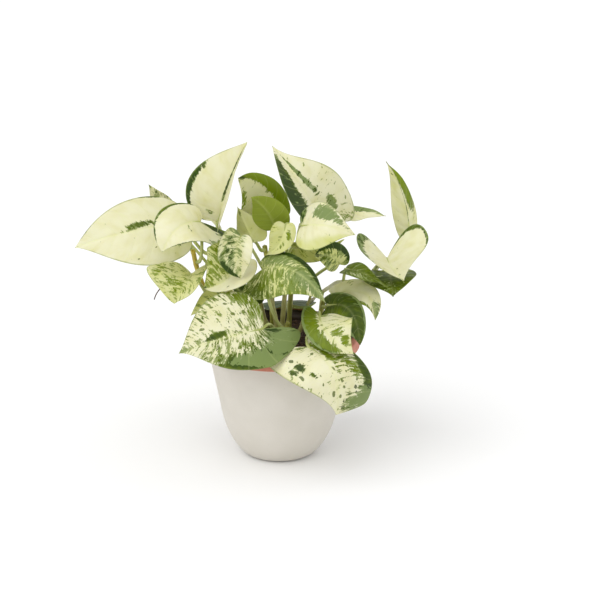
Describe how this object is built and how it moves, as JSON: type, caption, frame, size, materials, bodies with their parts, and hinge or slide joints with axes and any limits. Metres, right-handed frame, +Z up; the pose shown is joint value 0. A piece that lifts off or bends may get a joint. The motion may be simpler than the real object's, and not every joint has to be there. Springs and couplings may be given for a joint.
{
  "type": "potted pothos plant",
  "caption": "Small trailing houseplant with cream and green variegated heart-shaped leaves on long stalks, in a plastic nursery pot inside a rounded matte cover pot.",
  "frame": {"origin": "centre of the cover pot's flat underside, on the surface that the plant stands on", "axes": "+Z up along the pots' own axis, -Y toward the front, where the largest leaf and the trailing leaf hang over the rim, +X to the right"},
  "size_m": [0.2947, 0.1843, 0.275],
  "materials": {
    "cover_pot": "matte",
    "grow_pot": "satin",
    "soil": "matte",
    "vine": "satin",
    "leaf": "satin",
    "root": "matte"
  },
  "bodies": {
    "root": {"cover_pot": "cover_pot", "grow_pot": "grow_pot", "leaf_back_drape": "leaf", "leaf_back_left": "leaf", "leaf_back_low_left": "leaf", "leaf_back_low_right": "leaf", "leaf_back_middle": "leaf", "leaf_back_upper_left": "leaf", "leaf_back_upper_right": "leaf", "leaf_front_left": "leaf", "leaf_front_right": "leaf", "leaf_front_small": "leaf", "leaf_hanging": "leaf", "leaf_inner_dark": "leaf", "leaf_inner_front": "leaf", "leaf_inner_pale": "leaf", "leaf_left_cup": "leaf", "leaf_left_front": "leaf", "leaf_left_large": "leaf", "leaf_left_low": "leaf", "leaf_left_small": "leaf", "leaf_left_tip": "leaf", "leaf_middle": "leaf", "leaf_right_dark": "leaf", "leaf_right_edge": "leaf", "leaf_right_heart": "leaf", "leaf_right_low": "leaf", "leaf_right_pale": "leaf", "leaf_right_round": "leaf", "leaf_right_thin": "leaf", "leaf_right_under": "leaf", "leaf_right_upper": "leaf", "leaf_right_upright": "leaf", "leaf_top_arched": "leaf", "leaf_top_left": "leaf", "leaf_top_right": "leaf", "leaf_turned": "leaf", "root_left": "root", "root_left_low": "root", "soil": "soil", "vine_front": "vine", "vine_front_right": "vine", "vine_left": "vine", "vine_left_back": "vine", "vine_middle": "vine", "vine_middle_back": "vine", "vine_right": "vine"}
  },
  "joints": []
}
